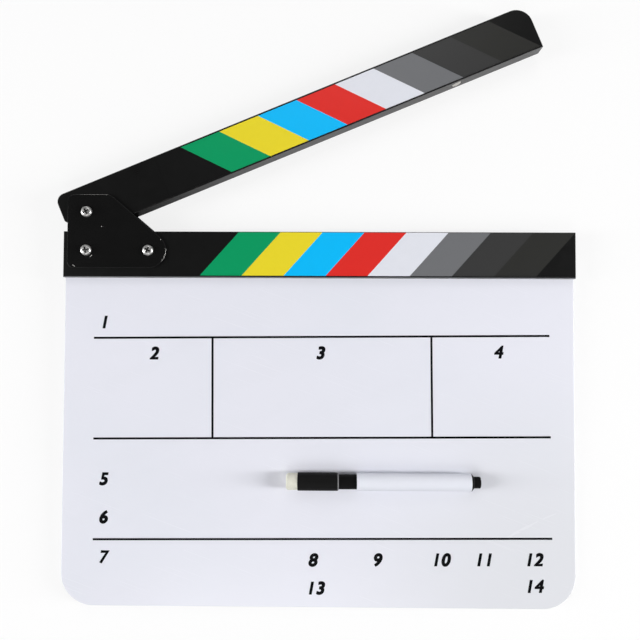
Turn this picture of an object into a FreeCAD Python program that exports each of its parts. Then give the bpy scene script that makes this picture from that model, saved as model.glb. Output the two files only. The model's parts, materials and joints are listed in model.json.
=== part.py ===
import FreeCAD
import Part
import Sketcher

import math
import os
import re

# Clapperboard lying on its back: a white slate in a slotted lower stick, an upper stick that swings on a
# pivot screw between two hinge plates, and a capped marker resting on the slate.
# Frame: the origin is the middle of the slate's bottom edge, +X runs along the sticks away from the hinge,
# +Y runs up the slate towards the sticks, +Z comes out of the written face.
# Lengths are in millimetres and angles in degrees.

SIZES = {
    # Slate, whose width is also the lower stick's length
    "board_width": 300.0,
    "board_drop": 191.8,
    "board_thickness": 3.0,
    "board_corner_radius": 19.0,
    "board_edge_bevel": 0.3,
    # Lower stick and the slot that holds the slate
    "stick_height": 27.0,
    "stick_thickness": 11.2,
    "stick_edge_bevel": 0.35,
    "slot_depth": 12.0,
    "slot_clearance": 0.05,
    # Upper stick: its tip stops just short of the lower stick's end, and the rest is measured from its pivot
    "tip_setback": 0.6,
    "clap_thickness": 10.6,
    "pivot_end_inset": 14.7,
    "pivot_rise": 11.0,
    "closing_gap": 0.2,
    "tip_corner_radius": 10.0,
    "hinge_corner_radius": 5.0,
    "heel_corner_radius": 2.0,
    "open_angle": 22.5,
    "stop_angle": 50.0,
    # Printed stripe films
    "film_thickness": 0.15,
    "film_margin": 1.15,
    "film_roof_margin": 0.4,
    "film_start": 62.0,
    # Hinge plates and the places of their screws
    "plate_thickness": 1.5,
    "plate_margin": 10.3,
    "plate_end_margin": 11.3,
    "plate_shoulder": 13.6,
    "plate_corner_radius": 4.0,
    "plate_shoulder_radius": 6.0,
    "plate_edge_bevel": 0.2,
    "hinge_inset": 14.0,
    "fixing_spacing": 36.3,
    "fixing_drop": 11.4,
    # Screws, nuts and washers
    "screw_diameter": 3.5,
    "screw_hole_clearance": 0.05,
    "screw_tail": 0.6,
    "screw_tail_chamfer": 0.4,
    "head_diameter": 6.4,
    "head_height": 2.4,
    "head_bevel": 0.9,
    "recess_span": 3.7,
    "recess_width": 1.0,
    "recess_depth": 1.3,
    "nut_width": 6.0,
    "nut_height": 2.8,
    "nut_chamfer_drop": 0.5,
    "collar_diameter": 5.4,
    "collar_height": 1.2,
    "washer_diameter": 9.0,
    "washer_thickness": 0.25,
    # Magnets that hold the sticks together when they are shut
    "magnet_diameter": 6.0,
    "magnet_depth": 3.0,
    "magnet_chamfer": 0.3,
    "magnet_clearance": 0.05,
    "magnet_reach": 231.3,
    # Marker: its place on the slate
    "pen_across": 22.6,
    "pen_up": 73.8,
    "pen_rest_gap": 0.25,
    "pen_fit": 0.05,
    # Marker's barrel and the plug in its end
    "barrel_length": 65.6,
    "barrel_diameter": 10.1,
    "barrel_wall": 0.9,
    "plug_flange_diameter": 10.0,
    "plug_flange_length": 1.2,
    "plug_rim_length": 0.5,
    "plug_knob_diameter": 6.6,
    "plug_knob_length": 4.3,
    "plug_knob_bevel": 0.5,
    "plug_spigot": 6.0,
    # Marker's grip, nib and ink store
    "grip_length": 10.3,
    "grip_diameter": 8.5,
    "grip_tail": 8.0,
    "seat_length": 7.0,
    "seat_diameter": 7.7,
    "nose_length": 5.5,
    "nose_diameter": 4.6,
    "nib_diameter": 3.0,
    "nib_reach": 4.2,
    "nib_bevel": 0.9,
    "core_clearance": 0.5,
    # Marker's cap and the felt eraser in its end
    "cap_length": 23.7,
    "cap_diameter": 10.4,
    "cap_clearance": 0.08,
    "cap_stop_gap": 0.1,
    "cap_bore_spare": 0.8,
    "cap_mouth_chamfer": 0.7,
    "cap_end_chamfer": 0.25,
    "eraser_diameter": 9.3,
    "eraser_length": 6.6,
    "eraser_seat": 2.6,
    "eraser_overhang": 0.3,
    "eraser_bevel": 0.9,
    # Shared by all cuts, and by the search for edges
    "overrun": 1.0,
    "search_reach": 0.01,
}

# Places that several pieces share, written in the sizes above
STICK_TOP = "board_drop + stick_height"
PIVOT_X = "hinge_inset - board_width / 2"
PIVOT_Y = "board_drop + stick_height + closing_gap + pivot_rise"
FIXING_Y = "board_drop + stick_height - fixing_drop"
FIXING_BELOW_PIVOT = "(fixing_drop + closing_gap + pivot_rise)"
CLAP_TIP = "board_width - hinge_inset - tip_setback"
CLAP_ROOF = "stick_height - pivot_rise"
SCREW_HOLE = "screw_diameter + 2 * screw_hole_clearance"
PLATE_FACE = "(stick_thickness / 2 + plate_thickness)"
BARREL_BORE = "(barrel_diameter / 2 - barrel_wall)"
CAP_END = "(grip_length + cap_stop_gap + cap_length)"
NOSE_TIP = "(grip_length + seat_length + nose_length)"

# Points of a sketch element, and the sketch's own origin as an element and point
START = 1
END = 2
CENTRE = 3
ORIGIN = (-1, 1)

FULL_TURN = 360
HEXAGON_SIDES = 6
CROSS_ARMS = 4
FIXING_COUNT = 2

document = FreeCAD.newDocument("Clapperboard")
sheet = document.addObject("Spreadsheet::Sheet", "Sizes")
for row, (alias, value) in enumerate(SIZES.items(), start=1):
    sheet.set(f"A{row}", alias)
    sheet.set(f"B{row}", str(value))
    sheet.setAlias(f"B{row}", alias)
document.recompute()

sub_parts = []


def formula(words):
    """The sheet's expression for a sum of size names; a word before a bracket is a function."""
    return re.sub(r"\b[a-z]\w*\b(?!\()", r"Sizes.\g<0>", words)


def number(words):
    """The present value of a sum of size names."""
    return float(sheet.evalExpression(formula(words)))


def new_body(label):
    body = document.addObject("PartDesign::Body", label)
    body.Label = label
    sub_parts.append(body)
    return body


def place(body, across, up, out):
    """Puts a body's own origin at a point of the whole part."""
    body.setExpression("Placement.Base.x", formula(across))
    body.setExpression("Placement.Base.y", formula(up))
    body.setExpression("Placement.Base.z", formula(out))
    document.recompute()


def place_on_pivot(body):
    """Puts a piece of the upper stick on the pivot, swung open as it rests."""
    body.Placement.Rotation = FreeCAD.Rotation(FreeCAD.Vector(0, 0, 1), number("open_angle"))
    body.setExpression("Placement.Rotation.Angle", formula("open_angle"))
    place(body, PIVOT_X, PIVOT_Y, "0")


def place_on_slate(body):
    """Lays a piece of the marker on the slate, along X."""
    place(body, "pen_across", "pen_up", "board_thickness / 2 + pen_rest_gap + cap_diameter / 2")


def new_sketch(body, role, name, lift="0"):
    """A sketch on one of the body's origin planes, moved along that plane's normal by lift."""
    planes = [feature for feature in body.Origin.OriginFeatures if feature.Role == role]
    sketch = body.newObject("Sketcher::SketchObject", name)
    sketch.AttachmentSupport = [(planes[0], "")]
    sketch.MapMode = "FlatFace"
    sketch.setExpression("AttachmentOffset.Base.z", formula(lift))
    return sketch


def dimension(sketch, kind, words, *elements):
    """Adds a dimension to a sketch and ties it to the sheet."""
    index = sketch.addConstraint(Sketcher.Constraint(kind, *elements, number(words)))
    sketch.setExpression(f"Constraints[{index}]", formula(words))


def hold(sketch, element, point, across, up):
    """Dimensions one point of a sketch from the sketch's origin."""
    dimension(sketch, "DistanceX", across, *ORIGIN, element, point)
    dimension(sketch, "DistanceY", up, *ORIGIN, element, point)


def slope(sketch, line, words):
    """Sets the angle of a line from the sketch's X axis, in degrees."""
    angle = math.radians(number(words))
    index = sketch.addConstraint(Sketcher.Constraint("Angle", line, angle))
    sketch.setExpression(f"Constraints[{index}]", f"({formula(words)}) * 1 deg")


def level(sketch, *lines):
    for line in lines:
        sketch.addConstraint(Sketcher.Constraint("Horizontal", line))


def plumb(sketch, *lines):
    for line in lines:
        sketch.addConstraint(Sketcher.Constraint("Vertical", line))


def chain(sketch, *lines):
    """Joins the end of each line to the start of the next."""
    for line, after in zip(lines, lines[1:]):
        sketch.addConstraint(Sketcher.Constraint("Coincident", line, END, after, START))


def tangent(sketch, first, first_point, second, second_point):
    sketch.addConstraint(Sketcher.Constraint("Tangent", first, first_point, second, second_point))


def vector(across, up):
    return FreeCAD.Vector(number(across), number(up), 0)


def add_line(sketch, first, last):
    return sketch.addGeometry(Part.LineSegment(vector(*first), vector(*last)))


def add_arc(sketch, centre, radius, first_angle, last_angle):
    """An arc, counter-clockwise, with its centre and radius dimensioned and its ends left free."""
    circle = Part.Circle(vector(*centre), FreeCAD.Vector(0, 0, 1), number(radius))
    angles = [math.radians(number(words)) for words in (first_angle, last_angle)]
    arc = sketch.addGeometry(Part.ArcOfCircle(circle, *angles))
    hold(sketch, arc, CENTRE, *centre)
    dimension(sketch, "Radius", radius, arc)
    return arc


def add_polygon(sketch, corners):
    """A closed outline of straight lines with every corner dimensioned."""
    lines = [add_line(sketch, corner, after) for corner, after in zip(corners, corners[1:] + corners[:1])]
    chain(sketch, *lines, lines[0])
    for line, (across, up) in zip(lines, corners):
        hold(sketch, line, START, across, up)


def add_circle(sketch, across, up, diameter):
    circle = Part.Circle(vector(across, up), FreeCAD.Vector(0, 0, 1), number(diameter) / 2)
    index = sketch.addGeometry(circle)
    hold(sketch, index, CENTRE, across, up)
    dimension(sketch, "Diameter", diameter, index)


def rectangle(left, right, low, high):
    return [(left, low), (right, low), (right, high), (left, high)]


def add_pad(body, sketch, name, length, both_ways=False, backwards=False):
    pad = body.newObject("PartDesign::Pad", name)
    pad.Profile = sketch
    pad.SideType = "Symmetric" if both_ways else "One side"
    pad.Reversed = backwards
    pad.setExpression("Length", formula(length))
    document.recompute()


def check_cut(body, volume_before, name):
    """A cut that points away from the solid removes nothing, so the volumes are compared."""
    document.recompute()
    if not body.Shape.Volume < volume_before:
        raise RuntimeError(f"{body.Label}: {name} cuts nothing")


def cut_through(body, sketch, name):
    before = body.Shape.Volume
    pocket = body.newObject("PartDesign::Pocket", name)
    pocket.Profile = sketch
    pocket.SideType = "Symmetric"
    pocket.Type = "ThroughAll"
    check_cut(body, before, name)


def cut_down(body, sketch, name, depth, backwards=False):
    before = body.Shape.Volume
    pocket = body.newObject("PartDesign::Pocket", name)
    pocket.Profile = sketch
    pocket.Reversed = backwards
    pocket.setExpression("Length", formula(depth))
    check_cut(body, before, name)


def turn(body, sketch, axis, name):
    """Turns a half outline into a round solid about one of the sketch's axes."""
    solid = body.newObject("PartDesign::Revolution", name)
    solid.Profile = sketch
    solid.ReferenceAxis = (sketch, [axis])
    solid.Angle = FULL_TURN
    document.recompute()


def turn_away(body, sketch, axis, name):
    """Turns a groove out of a solid about one of the sketch's axes."""
    before = body.Shape.Volume
    groove = body.newObject("PartDesign::Groove", name)
    groove.Profile = sketch
    groove.ReferenceAxis = (sketch, [axis])
    groove.Angle = FULL_TURN
    check_cut(body, before, name)


def finish_edges(body, kind, name, size, test):
    """Rounds or chamfers those edges of the body's last feature that pass a test."""
    base = body.Tip
    edges = enumerate(base.Shape.Edges, start=1)
    names = [f"Edge{index}" for index, edge in edges if test(edge)]
    if not names:
        raise RuntimeError(f"{body.Label}: no edge for {name}")
    feature = body.newObject(f"PartDesign::{kind}", name)
    feature.Base = (base, names)
    feature.setExpression("Radius" if kind == "Fillet" else "Size", formula(size))
    document.recompute()


def near(first, second):
    return abs(first - second) < number("search_reach")


def upright_at(across, up):
    """Test for a straight edge along Z at one corner of an outline."""
    corner = vector(across, up)

    def test(edge):
        box = edge.BoundBox
        upright = near(box.XLength, 0) and near(box.YLength, 0) and not near(box.ZLength, 0)
        return upright and near(box.Center.x, corner.x) and near(box.Center.y, corner.y)

    return test


def outer_edge_at(height):
    """Test for an edge that lies in the plane Z = height and isn't a screw hole's rim."""
    plane_height = number(height)
    hole_radius = number(SCREW_HOLE) / 2

    def test(edge):
        box = edge.BoundBox
        rim = isinstance(edge.Curve, Part.Circle) and near(edge.Curve.Radius, hole_radius)
        return near(box.ZLength, 0) and near(box.Center.z, plane_height) and not rim

    return test


def circle_at(radius, axis, distance):
    """Test for a circle of a turned piece, by its radius and its place along the piece's axis."""
    wanted_radius = number(radius)
    wanted_distance = number(distance)

    def test(edge):
        if not isinstance(edge.Curve, Part.Circle):
            return False
        centre = getattr(edge.Curve.Center, axis)
        return near(edge.Curve.Radius, wanted_radius) and near(centre, wanted_distance)

    return test


def slate_board():
    """Flat acrylic sheet whose top edge reaches the roof of the lower stick's slot."""
    body = new_body("slate_board")
    outline = new_sketch(body, "XY_Plane", "board_outline")
    half_width = "board_width / 2"
    add_polygon(outline, rectangle(f"-{half_width}", half_width, "0", "board_drop + slot_depth"))
    add_pad(body, outline, "board_sheet", "board_thickness", both_ways=True)
    for side, name in ((f"-{half_width}", "hinge_side_corner"), (half_width, "far_corner")):
        finish_edges(body, "Fillet", name, "board_corner_radius", upright_at(side, "0"))
    for face, name in (("board_thickness / 2", "front_edges"), ("-board_thickness / 2", "rear_edges")):
        finish_edges(body, "Chamfer", name, "board_edge_bevel", outer_edge_at(face))


def cut_magnet_seat(body, reach, edge_height, downwards):
    """Round blind seat for a magnet, sunk into a long edge of a stick."""
    circle = new_sketch(body, "XZ_Plane", "magnet_seat_circle", lift=f"-({edge_height})")
    add_circle(circle, reach, "0", "magnet_diameter + 2 * magnet_clearance")
    cut_down(body, circle, "magnet_seat", "magnet_depth", backwards=downwards)


def lower_stick():
    """Bar with a slot along its lower edge for the slate, drilled for the two fixing screws."""
    body = new_body("lower_stick")
    section = new_sketch(body, "YZ_Plane", "bar_section")
    half = "stick_thickness / 2"
    slot = "(board_thickness / 2 + slot_clearance)"
    slot_roof = "board_drop + slot_depth"
    corners = rectangle("board_drop", STICK_TOP, f"-{half}", half)
    corners += [("board_drop", slot), (slot_roof, slot), (slot_roof, f"-{slot}"), ("board_drop", f"-{slot}")]
    add_polygon(section, corners)
    add_pad(body, section, "bar", "board_width", both_ways=True)
    holes = new_sketch(body, "XY_Plane", "fixing_hole_circles")
    for across in (PIVOT_X, f"{PIVOT_X} + fixing_spacing"):
        add_circle(holes, across, FIXING_Y, SCREW_HOLE)
    cut_through(body, holes, "fixing_holes")
    cut_magnet_seat(body, f"{PIVOT_X} + magnet_reach", STICK_TOP, downwards=True)
    for face, name in ((half, "front_edges"), (f"-{half}", "rear_edges")):
        finish_edges(body, "Chamfer", name, "stick_edge_bevel", outer_edge_at(face))


def upper_stick():
    """Clap stick, drawn about its pivot. Its heel is an arc about the pivot that rolls past the lower stick,
    and ends in a flat that lands on the lower stick at the widest opening."""
    body = new_body("upper_stick")
    outline = new_sketch(body, "XY_Plane", "clap_outline")
    heel = ("-pivot_end_inset", "(pivot_end_inset * sin(stop_angle) - pivot_rise) / cos(stop_angle)")
    flat_foot = ("-pivot_rise * sin(stop_angle)", "-pivot_rise * cos(stop_angle)")
    lower_edge = add_line(outline, ("0", "-pivot_rise"), (CLAP_TIP, "-pivot_rise"))
    tip_end = add_line(outline, (CLAP_TIP, "-pivot_rise"), (CLAP_TIP, CLAP_ROOF))
    top_edge = add_line(outline, (CLAP_TIP, CLAP_ROOF), ("-pivot_end_inset", CLAP_ROOF))
    hinge_end = add_line(outline, ("-pivot_end_inset", CLAP_ROOF), heel)
    stop_flat = add_line(outline, heel, flat_foot)
    heel_arc = add_arc(outline, ("0", "0"), "pivot_rise", "270 - stop_angle", "270")
    chain(outline, lower_edge, tip_end, top_edge, hinge_end, stop_flat)
    tangent(outline, stop_flat, END, heel_arc, START)
    tangent(outline, heel_arc, END, lower_edge, START)
    level(outline, lower_edge, top_edge)
    plumb(outline, tip_end, hinge_end)
    slope(outline, stop_flat, "-stop_angle")
    dimension(outline, "DistanceX", CLAP_TIP, *ORIGIN, tip_end, START)
    dimension(outline, "DistanceY", CLAP_ROOF, *ORIGIN, top_edge, START)
    dimension(outline, "DistanceX", "-pivot_end_inset", *ORIGIN, hinge_end, START)
    add_pad(body, outline, "clap_bar", "clap_thickness", both_ways=True)
    pivot_circle = new_sketch(body, "XY_Plane", "pivot_circle")
    add_circle(pivot_circle, "0", "0", SCREW_HOLE)
    cut_through(body, pivot_circle, "pivot_hole")
    cut_magnet_seat(body, "magnet_reach", "-pivot_rise", downwards=False)
    finish_edges(body, "Fillet", "tip_corner", "tip_corner_radius", upright_at(CLAP_TIP, CLAP_ROOF))
    hinge_corner = upright_at("-pivot_end_inset", CLAP_ROOF)
    finish_edges(body, "Fillet", "hinge_corner", "hinge_corner_radius", hinge_corner)
    finish_edges(body, "Fillet", "heel_corner", "heel_corner_radius", upright_at(*heel))
    for face, name in (("clap_thickness / 2", "front_edges"), ("-clap_thickness / 2", "rear_edges")):
        finish_edges(body, "Chamfer", name, "stick_edge_bevel", outer_edge_at(face))
    place_on_pivot(body)


def stripe_film(label, left, right, low, high, face):
    """Thin printed strip on the front of a stick, kept inside the stick's rounded edges."""
    body = new_body(label)
    outline = new_sketch(body, "XY_Plane", "film_outline", lift=face)
    add_polygon(outline, rectangle(left, right, low, high))
    add_pad(body, outline, "film_sheet", "film_thickness")
    return body


def stripe_films():
    start = "film_start - board_width / 2"
    end = "board_width / 2 - film_margin"
    foot = "board_drop + film_margin"
    roof = f"{STICK_TOP} - film_roof_margin"
    stripe_film("lower_stripe_film", start, end, foot, roof, "stick_thickness / 2")
    start = "film_start - hinge_inset"
    end = f"{CLAP_TIP} - film_margin"
    foot = "film_margin - pivot_rise"
    roof = f"{CLAP_ROOF} - film_margin"
    upper = stripe_film("upper_stripe_film", start, end, foot, roof, "clap_thickness / 2")
    finish_edges(upper, "Fillet", "tip_corner", "tip_corner_radius - film_margin", upright_at(end, roof))
    place_on_pivot(upper)


def hinge_plate(label, out, outer_face):
    """Steel plate round the pivot and the two fixing screws, with a slanted edge towards the stripes."""
    body = new_body(label)
    outline = new_sketch(body, "XY_Plane", "plate_outline")
    foot = f"-({FIXING_BELOW_PIVOT} + plate_margin)"
    nose = ("fixing_spacing", f"-{FIXING_BELOW_PIVOT}")
    rise = f"(plate_margin + {FIXING_BELOW_PIVOT})"
    run = "(plate_shoulder - fixing_spacing)"
    touch = f"(atan2({rise}; {run}) - acos(plate_margin / sqrt({rise}^2 + {run}^2)))"
    touch_point = (f"{nose[0]} + plate_margin * cos({touch})", f"{nose[1]} + plate_margin * sin({touch})")
    left = add_line(outline, ("-plate_end_margin", foot), ("-plate_end_margin", "plate_margin"))
    top = add_line(outline, ("-plate_end_margin", "plate_margin"), ("plate_shoulder", "plate_margin"))
    slant = add_line(outline, ("plate_shoulder", "plate_margin"), touch_point)
    bottom = add_line(outline, (nose[0], foot), ("-plate_end_margin", foot))
    nose_arc = add_arc(outline, nose, "plate_margin", "-90", touch)
    chain(outline, bottom, left, top, slant)
    tangent(outline, slant, END, nose_arc, END)
    tangent(outline, nose_arc, START, bottom, START)
    plumb(outline, left)
    level(outline, top, bottom)
    dimension(outline, "DistanceX", "-plate_end_margin", *ORIGIN, left, START)
    dimension(outline, "DistanceY", "plate_margin", *ORIGIN, top, START)
    dimension(outline, "DistanceX", "plate_shoulder", *ORIGIN, slant, START)
    add_pad(body, outline, "plate", "plate_thickness", both_ways=True)
    holes = new_sketch(body, "XY_Plane", "screw_hole_circles")
    for across, up in (("0", "0"), ("0", nose[1]), nose):
        add_circle(holes, across, up, SCREW_HOLE)
    cut_through(body, holes, "screw_holes")
    for name, up in (("top_corner", "plate_margin"), ("bottom_corner", foot)):
        finish_edges(body, "Fillet", name, "plate_corner_radius", upright_at("-plate_end_margin", up))
    shoulder = upright_at("plate_shoulder", "plate_margin")
    finish_edges(body, "Fillet", "shoulder", "plate_shoulder_radius", shoulder)
    finish_edges(body, "Chamfer", "outer_edges", "plate_edge_bevel", outer_edge_at(outer_face))
    place(body, PIVOT_X, PIVOT_Y, out)


def pan_head_screw(label, nut_stack):
    """Cross-recess screw whose shank passes both plates, a stick and the nut behind them."""
    body = new_body(label)
    half_outline = new_sketch(body, "XZ_Plane", "screw_outline")
    shank = "screw_diameter / 2"
    head = "head_diameter / 2"
    tail = f"-(2 * plate_thickness + stick_thickness + {nut_stack} + screw_tail)"
    corners = [("0", tail), (f"{shank} - screw_tail_chamfer", tail)]
    corners += [(shank, f"{tail} + screw_tail_chamfer"), (shank, "0")]
    corners += [(head, "0"), (head, "head_height"), ("0", "head_height")]
    add_polygon(half_outline, corners)
    turn(body, half_outline, "V_Axis", "turned_screw")
    finish_edges(body, "Chamfer", "crown", "head_bevel", circle_at(head, "z", "head_height"))
    cross = new_sketch(body, "XY_Plane", "recess_cross", lift="head_height")
    quarter = [("recess_span / 2", "recess_width / 2"), ("recess_width / 2", "recess_width / 2")]
    quarter += [("recess_width / 2", "recess_span / 2")]
    corners = []
    for _ in range(CROSS_ARMS):
        corners += quarter
        quarter = [(f"-({up})", across) for across, up in quarter]
    add_polygon(cross, corners)
    cut_down(body, cross, "cross_recess", "recess_depth")
    return body


def hexagon_nut(label):
    """Nut hanging below its own origin, with its free end chamfered."""
    body = new_body(label)
    hexagon = new_sketch(body, "XY_Plane", "nut_hexagon")
    corner_radius = "nut_width / sqrt(3)"
    angles = [side * FULL_TURN / HEXAGON_SIDES for side in range(HEXAGON_SIDES)]
    corners = [(f"{corner_radius} * cos({angle})", f"{corner_radius} * sin({angle})") for angle in angles]
    add_polygon(hexagon, corners)
    add_pad(body, hexagon, "nut_block", "nut_height", backwards=True)
    chamfer = new_sketch(body, "XZ_Plane", "chamfer_outline")
    beyond = f"{corner_radius} + overrun"
    rise_share = f"({beyond} - nut_width / 2) / ({corner_radius} - nut_width / 2)"
    rise_end = f"{rise_share} * nut_chamfer_drop - nut_height"
    add_polygon(chamfer, [("nut_width / 2", "-nut_height"), (beyond, "-nut_height"), (beyond, rise_end)])
    turn_away(body, chamfer, "V_Axis", "nut_chamfer")
    return body


def drill_nut(body):
    bore = new_sketch(body, "XY_Plane", "nut_bore_circle")
    add_circle(bore, "0", "0", SCREW_HOLE)
    cut_through(body, bore, "nut_bore")


def repeat_fixing(body):
    """Adds the second of the two fixing screws or nuts, along the plate's lower edge."""
    axes = [feature for feature in body.Origin.OriginFeatures if feature.Role == "X_Axis"]
    pair = body.newObject("PartDesign::LinearPattern", "fixing_pair")
    pair.TransformMode = "Whole shape"
    pair.Direction = (axes[0], [""])
    pair.Occurrences = FIXING_COUNT
    pair.setExpression("Length", formula("fixing_spacing"))
    body.Tip = pair
    document.recompute()


def hinge_fasteners():
    """Pivot screw with its lock nut and washers, and the two fixing screws with plain nuts."""
    pivot_screw = pan_head_screw("pivot_screw", "nut_height + collar_height")
    place(pivot_screw, PIVOT_X, PIVOT_Y, PLATE_FACE)
    lock_nut = hexagon_nut("pivot_lock_nut")
    collar = new_sketch(lock_nut, "XY_Plane", "collar_circle", lift="-nut_height")
    add_circle(collar, "0", "0", "collar_diameter")
    add_pad(lock_nut, collar, "collar", "collar_height", backwards=True)
    drill_nut(lock_nut)
    place(lock_nut, PIVOT_X, PIVOT_Y, f"-{PLATE_FACE}")
    fixing_screws = pan_head_screw("fixing_screws", "nut_height")
    repeat_fixing(fixing_screws)
    place(fixing_screws, PIVOT_X, FIXING_Y, PLATE_FACE)
    fixing_nuts = hexagon_nut("fixing_nuts")
    drill_nut(fixing_nuts)
    repeat_fixing(fixing_nuts)
    place(fixing_nuts, PIVOT_X, FIXING_Y, f"-{PLATE_FACE}")
    washers = new_body("pivot_washers")
    ring = new_sketch(washers, "XY_Plane", "washer_ring", lift="stick_thickness / 2 - washer_thickness")
    add_circle(ring, "0", "0", "washer_diameter")
    add_circle(ring, "0", "0", SCREW_HOLE)
    add_pad(washers, ring, "front_washer", "washer_thickness")
    planes = [feature for feature in washers.Origin.OriginFeatures if feature.Role == "XY_Plane"]
    rear = washers.newObject("PartDesign::Mirrored", "rear_washer")
    rear.TransformMode = "Whole shape"
    rear.MirrorPlane = (planes[0], [""])
    washers.Tip = rear
    place(washers, PIVOT_X, PIVOT_Y, "0")


def magnet(label, reach, edge_height, upwards):
    """Disc magnet flush with the long edge of a stick, its outer rim chamfered."""
    body = new_body(label)
    circle = new_sketch(body, "XZ_Plane", "magnet_circle", lift=f"-({edge_height})")
    add_circle(circle, reach, "0", "magnet_diameter")
    add_pad(body, circle, "disc", "magnet_depth", backwards=upwards)
    rim = circle_at("magnet_diameter / 2", "y", edge_height)
    finish_edges(body, "Chamfer", "rim", "magnet_chamfer", rim)
    return body


def magnets():
    magnet("lower_magnet", f"{PIVOT_X} + magnet_reach", STICK_TOP, upwards=False)
    place_on_pivot(magnet("upper_magnet", "magnet_reach", "-pivot_rise", upwards=True))


def turned_pen_piece(label, corners):
    """Round piece of the marker, turned about X from a half outline of (along, radius) corners."""
    body = new_body(label)
    half_outline = new_sketch(body, "XY_Plane", f"{label}_outline")
    add_polygon(half_outline, corners)
    turn(body, half_outline, "H_Axis", f"{label}_turned")
    place_on_slate(body)
    return body


def pen_barrel_and_plug():
    """White tube with the marker's origin at its front end, closed behind by a flared plug with a knob."""
    radius = "barrel_diameter / 2"
    turned_pen_piece("pen_barrel", rectangle("0", "barrel_length", BARREL_BORE, radius))
    spigot_radius = f"{BARREL_BORE} - pen_fit"
    spigot_end = "barrel_length - plug_spigot"
    knob_start = "barrel_length + plug_flange_length"
    knob_end = f"{knob_start} + plug_knob_length"
    knob_radius = "plug_knob_diameter / 2"
    flange_radius = "plug_flange_diameter / 2"
    corners = [(spigot_end, "0"), (knob_end, "0"), (knob_end, knob_radius), (knob_start, knob_radius)]
    corners += [("barrel_length + plug_rim_length", flange_radius), ("barrel_length", flange_radius)]
    corners += [("barrel_length", spigot_radius), (spigot_end, spigot_radius)]
    plug = turned_pen_piece("pen_end_plug", corners)
    finish_edges(plug, "Chamfer", "knob_rim", "plug_knob_bevel", circle_at(knob_radius, "x", knob_end))


def pen_writing_end():
    """Grip with a seat for the cap and a conical nose, the nib through it and the ink store behind it."""
    nib_hole = "nib_diameter / 2 + pen_fit"
    tail_radius = f"{BARREL_BORE} - pen_fit"
    grip_radius = "grip_diameter / 2"
    seat_radius = "seat_diameter / 2"
    seat_front = "-(grip_length + seat_length)"
    corners = [(f"-{NOSE_TIP}", nib_hole), ("grip_tail", nib_hole), ("grip_tail", tail_radius)]
    corners += [("0", tail_radius), ("0", grip_radius), ("-grip_length", grip_radius)]
    corners += [("-grip_length", seat_radius), (seat_front, seat_radius)]
    corners += [(f"-{NOSE_TIP}", "nose_diameter / 2")]
    turned_pen_piece("pen_grip", corners)
    nib_tip = f"-({NOSE_TIP} + nib_reach)"
    nib = turned_pen_piece("pen_nib", rectangle(nib_tip, "grip_tail", "0", "nib_diameter / 2"))
    finish_edges(nib, "Chamfer", "bullet_tip", "nib_bevel", circle_at("nib_diameter / 2", "x", nib_tip))
    core_end = "barrel_length - plug_spigot"
    core_radius = f"{BARREL_BORE} - core_clearance"
    turned_pen_piece("pen_ink_core", rectangle("grip_tail", core_end, "0", core_radius))


def pen_cap_and_eraser():
    """Cap bored to clear the seat, nose and nib, with a cup in its closed end for the felt eraser."""
    bore_end = f"-({NOSE_TIP} + nib_reach + cap_bore_spare)"
    bore_radius = "seat_diameter / 2 + cap_clearance"
    mouth = "-(grip_length + cap_stop_gap)"
    radius = "cap_diameter / 2"
    cap_end = f"-{CAP_END}"
    cup_radius = "eraser_diameter / 2 + pen_fit"
    cup_floor = f"eraser_seat - {CAP_END}"
    corners = [(bore_end, "0"), (bore_end, bore_radius), (mouth, bore_radius), (mouth, radius)]
    corners += [(cap_end, radius), (cap_end, cup_radius), (cup_floor, cup_radius), (cup_floor, "0")]
    cap = turned_pen_piece("pen_cap", corners)
    finish_edges(cap, "Chamfer", "mouth_rim", "cap_mouth_chamfer", circle_at(radius, "x", mouth))
    finish_edges(cap, "Chamfer", "end_rim", "cap_end_chamfer", circle_at(radius, "x", cap_end))
    felt_end = f"-({CAP_END} + eraser_length)"
    felt_radius = "eraser_diameter / 2"
    swollen_radius = f"{felt_radius} + eraser_overhang"
    shoulder = f"{cap_end} - pen_fit"
    corners = [(felt_end, "0"), (cup_floor, "0"), (cup_floor, felt_radius), (shoulder, felt_radius)]
    corners += [(shoulder, swollen_radius), (felt_end, swollen_radius)]
    eraser = turned_pen_piece("pen_eraser", corners)
    finish_edges(eraser, "Chamfer", "felt_rim", "eraser_bevel", circle_at(swollen_radius, "x", felt_end))


slate_board()
lower_stick()
upper_stick()
stripe_films()
hinge_plate("front_hinge_plate", "stick_thickness / 2 + plate_thickness / 2", "plate_thickness / 2")
hinge_plate("rear_hinge_plate", "-(stick_thickness / 2 + plate_thickness / 2)", "-plate_thickness / 2")
hinge_fasteners()
magnets()
pen_barrel_and_plug()
pen_writing_end()
pen_cap_and_eraser()
document.recompute()

for item in document.Objects:
    if "Invalid" in item.State or "Error" in item.State:
        raise RuntimeError(f"{item.Label} failed: {item.State}")
for body in sub_parts:
    if body.Shape.isNull() or not body.Shape.isValid():
        raise RuntimeError(f"{body.Label} has no valid shape")

os.makedirs("parts", exist_ok=True)
for body in sub_parts:
    body.Shape.exportStep(f"parts/{body.Label}.step")
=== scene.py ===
import json
import math

import bpy
from mathutils import Matrix, Vector


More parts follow.
